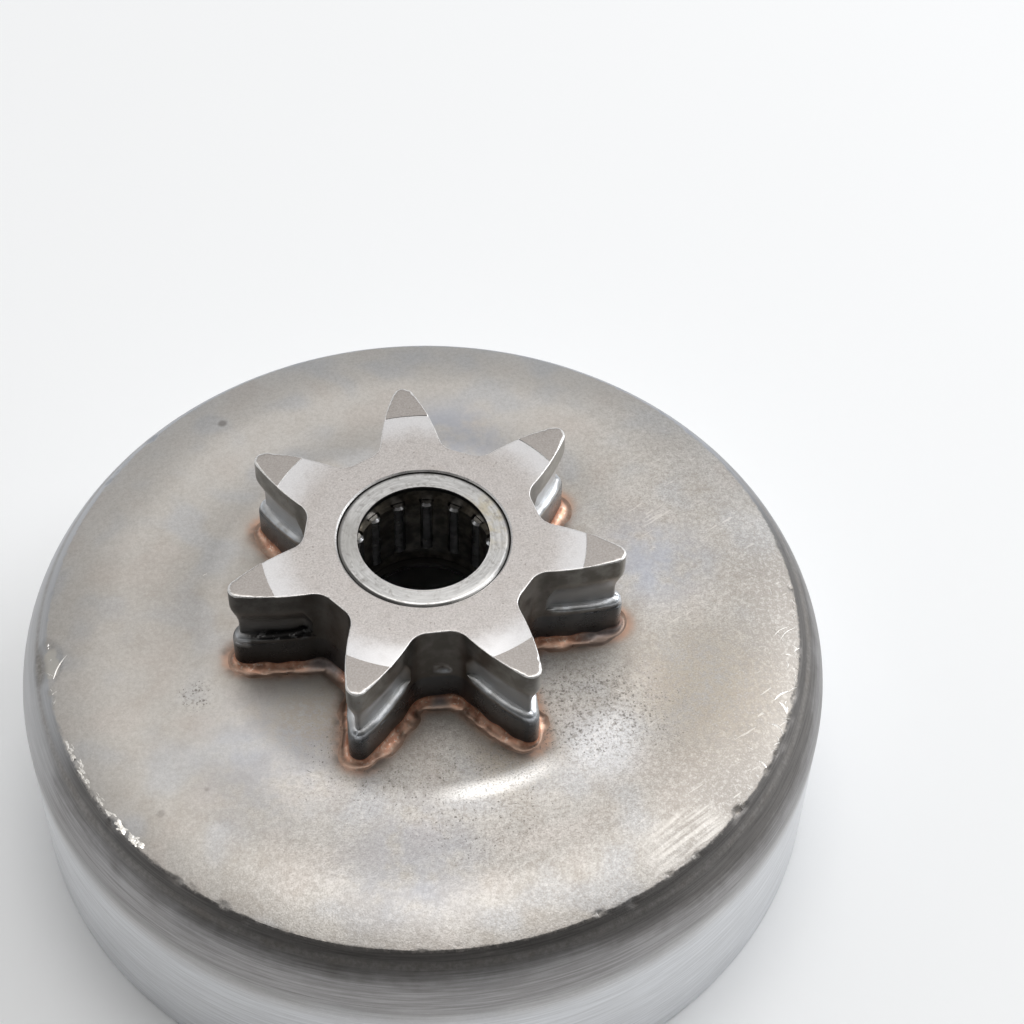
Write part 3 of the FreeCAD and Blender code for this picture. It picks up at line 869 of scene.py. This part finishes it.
def end_tones(s, grain):
    """The sprocket's end: speckled in the middle, polished by the washer, duller tips; also the polish."""
    cloud = s.noise(0.45, 3.0, 0.6)
    mottle = s.noise(1.8, 4.0, 0.65)
    seat = s.step(s.r, SEAT_R + 0.03, SEAT_R - 0.03)
    polish = s.times(seat, s.step(s.add(s.r, s.times(s.less(cloud, 0.5), 3.0)), 11.2, 14.6))
    speck = s.times(s.blots(3.0, s.step(mottle, 0.3, 0.8)), s.less(1.0, polish))
    end = s.mix(s.step(grain, 0.3, 0.7), (0.42, 0.394, 0.382), (0.58, 0.548, 0.532))
    end = s.lay(end, (0.40, 0.36, 0.335), s.step(cloud, 0.45, 0.7), 0.3)
    end = s.lay(end, (0.33, 0.30, 0.285), s.step(mottle, 0.5, 0.3), 0.4)
    end = s.lay(end, (0.24, 0.215, 0.20), speck, 0.6)
    shine = s.mix(s.step(grain, 0.25, 0.75), (0.62, 0.612, 0.62), (0.70, 0.69, 0.70))
    shine = s.lay(shine, (0.84, 0.83, 0.84), s.near(0.0, -13.5, 4.5, 3.5), 0.8)
    tips = s.mix(s.step(grain, 0.3, 0.75), (0.33, 0.305, 0.288), (0.43, 0.40, 0.382))
    tips = s.lay(tips, (0.22, 0.20, 0.185), speck, 0.35)
    return s.lay(tips, s.lay(end, shine, polish), seat), polish


def flank_tones(s, grain, up):
    """The flanks: dark, with painted shade deep in the gullets, low down, on the left teeth and in cracks,
    bright in the groove, with a painted highlight on the ledge; also their stain and what is smooth.
    """
    stain = s.step(s.noise(0.7, 3.0, 0.6), 0.35, 0.7)
    side = s.mix(stain, (0.24, 0.233, 0.217), (0.39, 0.38, 0.36))
    rust = s.step(s.noise(1.6, 4.0, 0.7), 0.52, 0.72)
    side = s.lay(side, (0.19, 0.135, 0.095), rust, s.step(s.x, 2.0, -9.0), 0.5)
    # Darker deep in the gullets: painted shade.
    side = s.lay(side, (0.12, 0.112, 0.104), s.step(s.r, 13.8, 11.6), 0.5)
    side = s.lay(side, (0.62, 0.622, 0.63), s.mask("hollow"), 0.8)
    # Darker and bluer below the ledge, towards the foot: painted shade.
    foot = s.step(s.z, 28.25, 27.7)
    side = s.lay(side, (0.125, 0.142, 0.166), foot, 0.7)
    # Near black on the flanks of the left teeth, which face away from the light: painted shade.
    left_flank_shade = s.times(s.step(s.x, -4.0, -12.0), s.step(s.y, 4.0, 0.0), s.step(s.y, -11.0, -8.0))
    side = s.lay(side, (0.06, 0.056, 0.052), left_flank_shade, 0.7)
    # Less painted highlight on the left teeth, which face away from the light.
    unlit_left = s.times(s.step(s.x, -7.0, -10.0), s.step(s.y, 4.0, 0.0), 0.85)
    ledge_highlight = s.times(s.mask("ledge_highlight"), s.step(s.noise(0.9, 2.0), 0.2, 0.55), s.less(1.0, unlit_left))
    # Painted highlight on the ledge.
    side = s.lay(side, (0.72, 0.745, 0.78), ledge_highlight)
    # Near black in the crack and the gouges: painted shade.
    side = s.lay(side, (0.03, 0.03, 0.032), s.mask("gap"), 0.9)
    side = left_ledge(s, side)
    rolled = s.times(s.step(up, 0.15, 0.5), s.step(s.z, 34.0, 34.3))
    side = s.lay(side, (0.84, 0.82, 0.80), rolled, s.step(grain, 0.2, 0.5))
    return side, stain, s.any(ledge_highlight, foot)


def left_ledge(s, side):
    """The left front tooth's ledge in painted black shade with a ragged edge, and a painted highlight on
    the bead at its end.
    """
    on_flank = s.times(s.step(s.x, -9.8, -11.2), s.step(s.y, -4.2, -4.8), s.step(s.y, -8.5, -7.6))
    on_ledge = s.times(s.step(s.z, 28.2, 28.4), s.step(s.z, 29.3, 28.8))
    ragged = s.step(s.noise(1.1, 3.0), 0.36, 0.46)
    side = s.lay(side, (0.012, 0.011, 0.011), on_flank, on_ledge, ragged, 0.92)
    bead = s.times(s.near(-17.7, -5.0, 0.7, 0.6), s.step(s.z, 26.9, 27.5), s.step(s.z, 28.5, 28.2))
    return s.lay(side, (0.62, 0.63, 0.645), bead, 0.75)


def sprocket_steel():
    s = Surface("sprocket_steel")
    up = s.upward()
    grain = s.noise(6.0, 3.0, 0.65)
    on_end = s.times(s.step(up, 0.955, 0.993), s.step(s.z, 33.0, 34.0))
    on_side = s.less(1.0, on_end)
    end, polish = end_tones(s, grain)
    side, stain, smoothed = flank_tones(s, grain, up)
    end_rough = s.less(s.add(0.38, s.times(grain, 0.14)), s.times(polish, 0.06))
    side_rough = s.less(s.add(0.36, s.times(stain, 0.12)), s.times(smoothed, 0.1))
    rough = s.add(s.times(on_end, end_rough), s.times(on_side, side_rough))
    height = s.add(s.times(grain, 0.7), s.times(stain, on_side, 0.6))
    return s.metal(s.mix(on_end, side, end), rough, height, 0.016)


def copper_braze():
    s = Surface("copper_braze")
    grain = s.noise(1.3, 2.0, 0.5)
    film = s.noise(0.6, 3.0, 0.6)
    colour = s.mix(s.step(grain, 0.3, 0.7), (0.70, 0.34, 0.22), (0.98, 0.60, 0.43))
    glint = s.times(s.step(s.noise(3.6, 2.0, 0.5), 0.56, 0.68), s.step(film, 0.34, 0.48))
    colour = s.lay(colour, (0.99, 0.76, 0.62), glint)
    grey = s.any(s.near(16.8, -5.8, 1.6, 2.2), s.near(-10.0, -6.1, 0.8, 1.8), s.near(0.1, -11.7, 0.4, 1.0))
    colour = s.lay(colour, s.mix(grain, (0.17, 0.166, 0.172), (0.36, 0.355, 0.365)), grey, 0.85)
    # Soot in patches, and painted shade where the fillet meets the flank.
    by_flank = s.step(s.add(s.z, s.times(film, 0.5)), FACE_Z + 0.95, FACE_Z + 1.35)
    soot_and_shade = s.any(s.times(s.step(film, 0.53, 0.68), 0.45), by_flank)
    colour = s.lay(colour, (0.06, 0.05, 0.048), soot_and_shade, 0.65)
    rim = s.step(s.add(s.z, s.times(s.less(film, 0.5), 0.3)), FACE_Z + 0.28, FACE_Z + 0.04)
    colour = s.lay(colour, (0.19, 0.135, 0.105), rim, 0.88)
    return s.metal(colour, s.add(0.22, s.times(grain, 0.2)), grain, 0.03, metallic=0.75)


def bearing_steel():
    s = Surface("bearing_steel")
    grain = s.noise(5.0, 3.0, 0.6)
    rings = s.round_streaks(0.9, 6.0)
    colour = s.mix(s.step(rings, 0.28, 0.72), (0.42, 0.414, 0.41), (0.62, 0.615, 0.61))
    stain = s.times(s.near(6.5, 1.5, 1.0, 3.5), s.step(s.noise(0.8, 3.0), 0.38, 0.6))
    colour = s.lay(colour, (0.50, 0.43, 0.28), stain, 0.55)
    dirt = s.times(s.step(s.noise(1.5, 4.0, 0.65), 0.5, 0.68), 0.55)
    colour = s.lay(colour, (0.20, 0.185, 0.17), dirt)
    # Near black in the seam round the cup's top: painted shade.
    seam = s.times(s.step(s.r, 7.5, 7.75), s.step(s.z, CUP_TOP - 0.002, CUP_TOP - 0.04))
    colour = s.lay(colour, (0.05, 0.048, 0.046), seam, 0.85)
    # A bright crescent on the front of the cup's outer corner: painted highlight.
    bright = s.any(s.times(s.near(4.0, -6.2, 1.0, 2.2), s.step(s.r, 7.1, 7.4)),
                   s.times(s.near(0.0, -7.4, 1.5, 3.0), 0.3))
    colour = s.lay(colour, (0.82, 0.81, 0.80), bright, 0.8)
    colour = s.lay(colour, (0.34, 0.33, 0.315), s.near(-7.0, 0.6, 1.0, 3.5), 0.55)
    # Dark inside the cup just under its lip: painted shade.
    within = s.times(s.step(s.z, CUP_TOP - 0.09, CUP_TOP - 0.24), s.step(s.r, 7.62, 7.5))
    colour = s.lay(colour, (0.10, 0.098, 0.096), within)
    rough = s.add(0.28, s.times(grain, 0.14), s.times(dirt, 0.2))
    return s.metal(colour, rough, s.add(rings, s.times(grain, 0.5)), 0.008)


def oiled_steel(name, dark, light, least_rough):
    s = Surface(name)
    grain = s.noise(3.0, 3.0, 0.6)
    film = s.noise(0.9, 3.0, 0.6)
    colour = s.mix(s.step(film, 0.35, 0.68), dark, light)
    colour = s.lay(colour, (0.24, 0.185, 0.12), s.step(grain, 0.55, 0.75), 0.5)
    # Darker deeper in the bore: painted shade.
    colour = s.lay(colour, (0.08, 0.083, 0.092), s.step(s.z, 31.0, 26.0), 0.4)
    rough = s.add(least_rough, s.times(grain, 0.15))
    return s.metal(colour, rough, s.add(grain, s.times(film, 0.5)), 0.006)


# Stage, in metres: a pale floor, soft light from above and behind, and a darker room on the camera's side

FLOOR_HALF = 1.6
# Level direction from the camera to the part and beyond
AWAY = (0.1033, 0.9946)
# Lamps: name, place, size, power in watts, colour
LAMPS = [
    ("window", (0.58, 0.21, 0.50), 0.5, 2.5, (0.96, 0.98, 1.0)),
    ("ceiling", (0.02, 0.15, 0.76), 0.3, 0.7, (1.0, 0.99, 0.975)),
]


def floor():
    corners = [(x * FLOOR_HALF, y * FLOOR_HALF, 0) for x, y in ((-1, -1), (1, -1), (1, 1), (-1, 1))]
    mesh = bpy.data.meshes.new("floor")
    mesh.from_pydata(corners, [], [(0, 1, 2, 3)])
    plane = bpy.data.objects.new("floor", mesh)
    bpy.context.scene.collection.objects.link(plane)
    s = Surface("pale_floor")
    shader = s.node("ShaderNodeBsdfDiffuse")
    s.link(s.mix(s.noise(0.02, 2.0), (0.93, 0.938, 0.95), (0.94, 0.948, 0.96)), shader.inputs["Color"])
    s.link(shader.outputs[0], s.node("ShaderNodeOutputMaterial").inputs["Surface"])
    mesh.materials.append(s.material)


class Studio(Surface):
    """The world's nodes, with x, y and z as the direction that is looked in."""

    def __init__(self, tree):
        self.tree = tree
        tree.nodes.clear()
        self.x, self.y, self.z = self.split(self.node("ShaderNodeTexCoord").outputs["Generated"])

    def shine(self, strength, colour):
        background = self.node("ShaderNodeBackground")
        self.link(colour, background.inputs["Color"])
        self.link(strength, background.inputs["Strength"])
        self.link(background.outputs[0], self.node("ShaderNodeOutputWorld").inputs["Surface"])


def studio_light():
    """Bright overhead and behind the part, dim on the camera's side, so that metal has contrast."""
    world = bpy.data.worlds.new("studio")
    bpy.context.scene.world = world
    world.use_nodes = True
    s = Studio(world.node_tree)
    away = s.add(s.times(s.x, AWAY[0]), s.times(s.y, AWAY[1]))
    high = s.times(s.step(s.add(s.z, s.times(away, 0.1)), 0.84, 0.99), 1.15)
    front = s.add(0.12, s.times(s.step(away, -0.62, 0.05), 0.88))
    colour = s.mix(s.step(s.z, 0.1, 0.7), (0.91, 0.955, 1.0), (1.0, 0.99, 0.97))
    s.shine(s.times(s.add(0.63, high), front), colour)
    for name, place, size, power, colour in LAMPS:
        data = bpy.data.lights.new(name, "AREA")
        data.size = size
        data.energy = power
        data.color = colour
        lamp = bpy.data.objects.new(name, data)
        lamp.location = place
        lamp.rotation_euler = (-lamp.location).to_track_quat("-Z", "Y").to_euler()
        bpy.context.scene.collection.objects.link(lamp)


def photo_camera():
    """The photograph's camera, found from the ellipses of the bore, the teeth and the drum's edge."""
    right = (0.990456, -0.136048, 0.022069)
    up = (0.090778, 0.764422, 0.638293)
    back = (-0.103709, -0.630198, 0.769477)
    place = (-0.013876, -0.133588, 0.200200)
    data = bpy.data.cameras.new("photo_camera")
    data.sensor_width = 36.0
    data.lens = 81.743
    data.clip_start = 0.01
    camera = bpy.data.objects.new("photo_camera", data)
    camera.matrix_world = Matrix([*zip(right, up, back, place)] + [(0, 0, 0, 1)])
    bpy.context.scene.collection.objects.link(camera)
    bpy.context.scene.camera = camera


teeth = Outline()
paint(drum_piece(teeth), drum_steel())
paint(nick_piece(), bare_steel())
paint(sprocket_piece(teeth), sprocket_steel())
paint(braze_piece(teeth), copper_braze())
paint(nodes["bearing_cup"], bearing_steel())
cage_steel = oiled_steel("cage_steel", (0.20, 0.185, 0.165), (0.46, 0.43, 0.38), 0.35)
paint(nodes["bearing_cage"], cage_steel)
roller_steel = oiled_steel("roller_steel", (0.62, 0.62, 0.63), (0.88, 0.88, 0.89), 0.18)
for name, node in nodes.items():
    if name.startswith("needle_roller"):
        paint(node, roller_steel)
floor()
studio_light()
photo_camera()
bpy.context.scene.view_settings.view_transform = "Standard"
